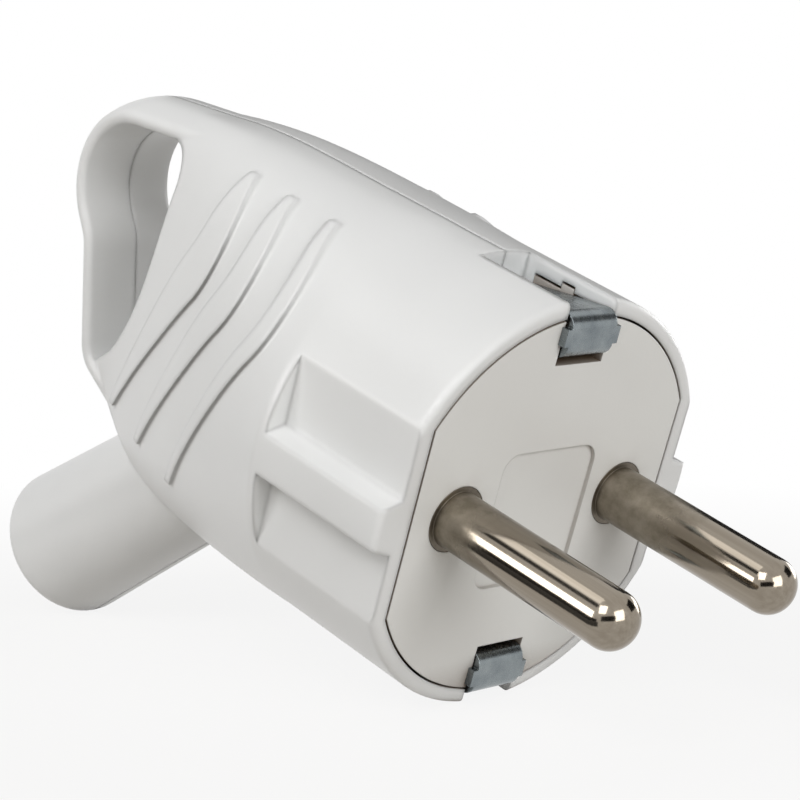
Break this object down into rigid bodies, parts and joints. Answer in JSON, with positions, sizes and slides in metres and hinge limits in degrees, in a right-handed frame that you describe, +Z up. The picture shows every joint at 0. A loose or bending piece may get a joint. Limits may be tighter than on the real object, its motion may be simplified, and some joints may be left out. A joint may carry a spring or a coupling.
{
  "type": "earthed power plug",
  "caption": "Round earthed mains plug with pull ring, side guide ribs, earth contacts at the rim and an angled cable sleeve.",
  "frame": {"origin": "under the middle of the plug as it rests, on the surface it lies on", "axes": "+X from the sleeve towards the pin tips along the surface, +Y across the two pins towards the right half of the housing, +Z up"},
  "size_m": [0.0836, 0.036, 0.0499],
  "materials": {
    "housing": "satin white moulding with a fine grain",
    "insert": "satin off-white moulding",
    "pin": "warm nickel plate with fine turning marks",
    "contact": "dull zinc plate",
    "screw": "zinc plate",
    "clamp": "matt moulding"
  },
  "bodies": {
    "root": {"housing_left_half": "housing", "housing_right_half": "housing", "contact_insert": "insert", "pin_left": "pin", "pin_right": "pin", "terminal_screws": "screw", "earth_strap": "contact", "earth_washer": "screw", "earth_screw": "screw", "cord_clamp_bar": "clamp", "clamp_screws": "screw", "housing_screws": "screw"}
  },
  "joints": []
}
